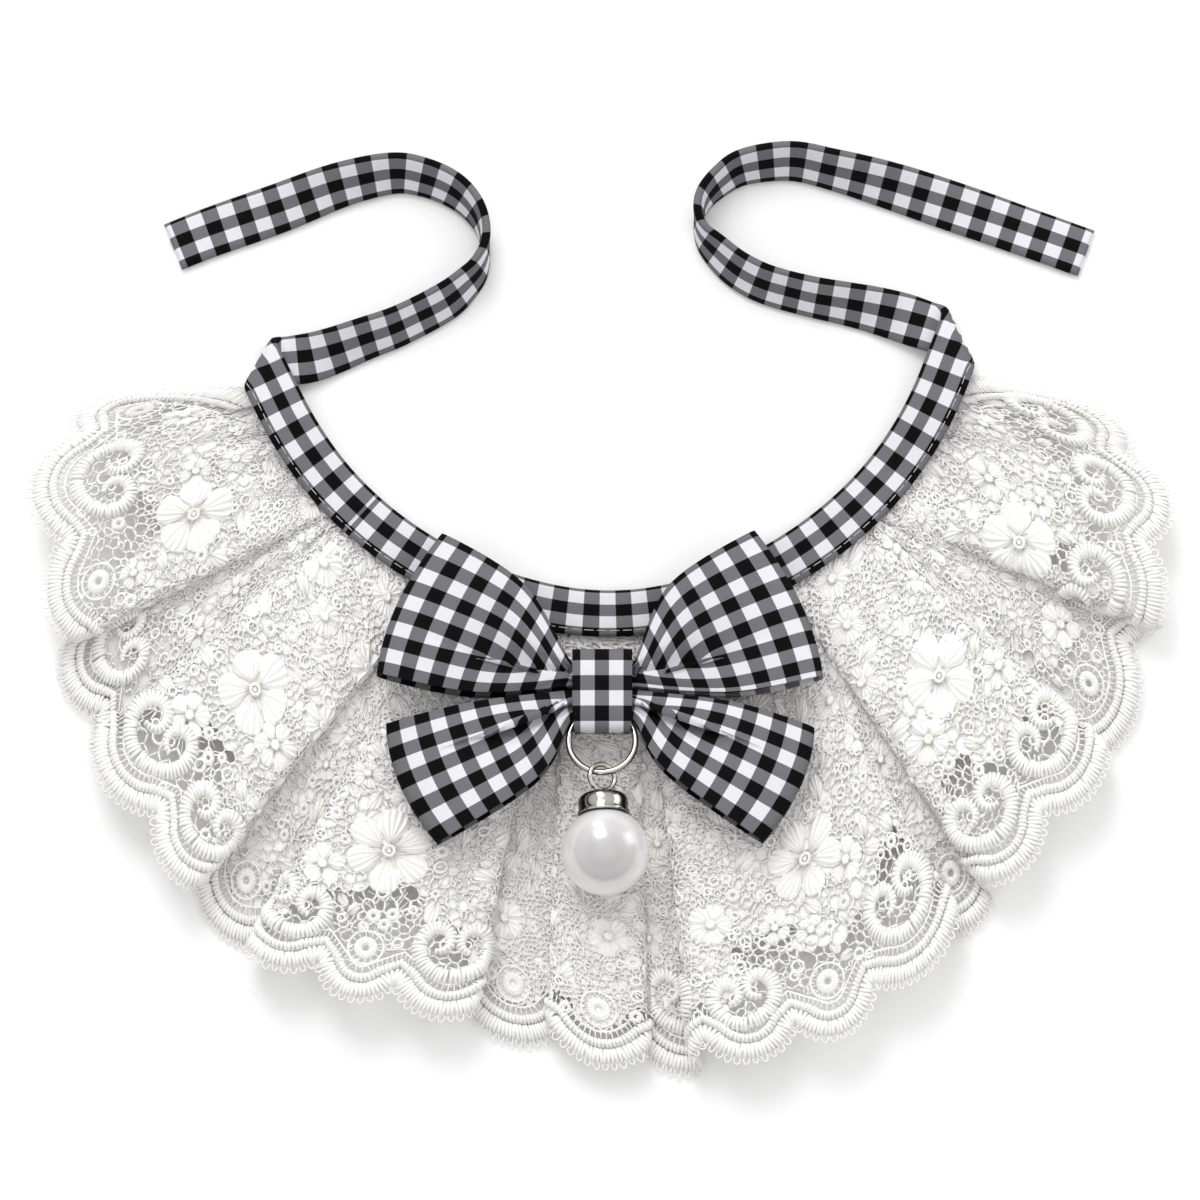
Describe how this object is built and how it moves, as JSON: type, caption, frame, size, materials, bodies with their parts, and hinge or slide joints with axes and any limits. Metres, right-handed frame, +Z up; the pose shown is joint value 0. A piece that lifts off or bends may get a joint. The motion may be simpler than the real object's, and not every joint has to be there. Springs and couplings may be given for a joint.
{
  "type": "bib collar",
  "caption": "Pet bib collar: gingham tie strap, gathered lace ruffle with scalloped hem, gingham bow with a ring and pearl drop.",
  "frame": {"origin": "on the flat underside of the ruffle's header, under the middle of the neckband's front", "axes": "+X across the collar to the right as seen from above, +Y from the bow to the open side of the neck, +Z up from the surface it lies on"},
  "size_m": [0.2265, 0.1877, 0.0217],
  "materials": {
    "gingham_cotton": "woven black and white gingham cotton, matt",
    "guipure_lace": "white embroidered guipure lace, soft thread sheen",
    "nickel": "polished nickel plate",
    "pearl_lacquer": "pearl lacquer over a moulded bead"
  },
  "bodies": {
    "root": {"neck_strap": "gingham_cotton", "lace_ruffle": "guipure_lace", "bow_loop_upper_left": "gingham_cotton", "bow_loop_upper_right": "gingham_cotton", "bow_loop_lower_left": "gingham_cotton", "bow_loop_lower_right": "gingham_cotton", "bow_knot": "gingham_cotton", "hanging_ring": "nickel", "pendant_cap": "nickel", "pearl": "pearl_lacquer"}
  },
  "joints": []
}
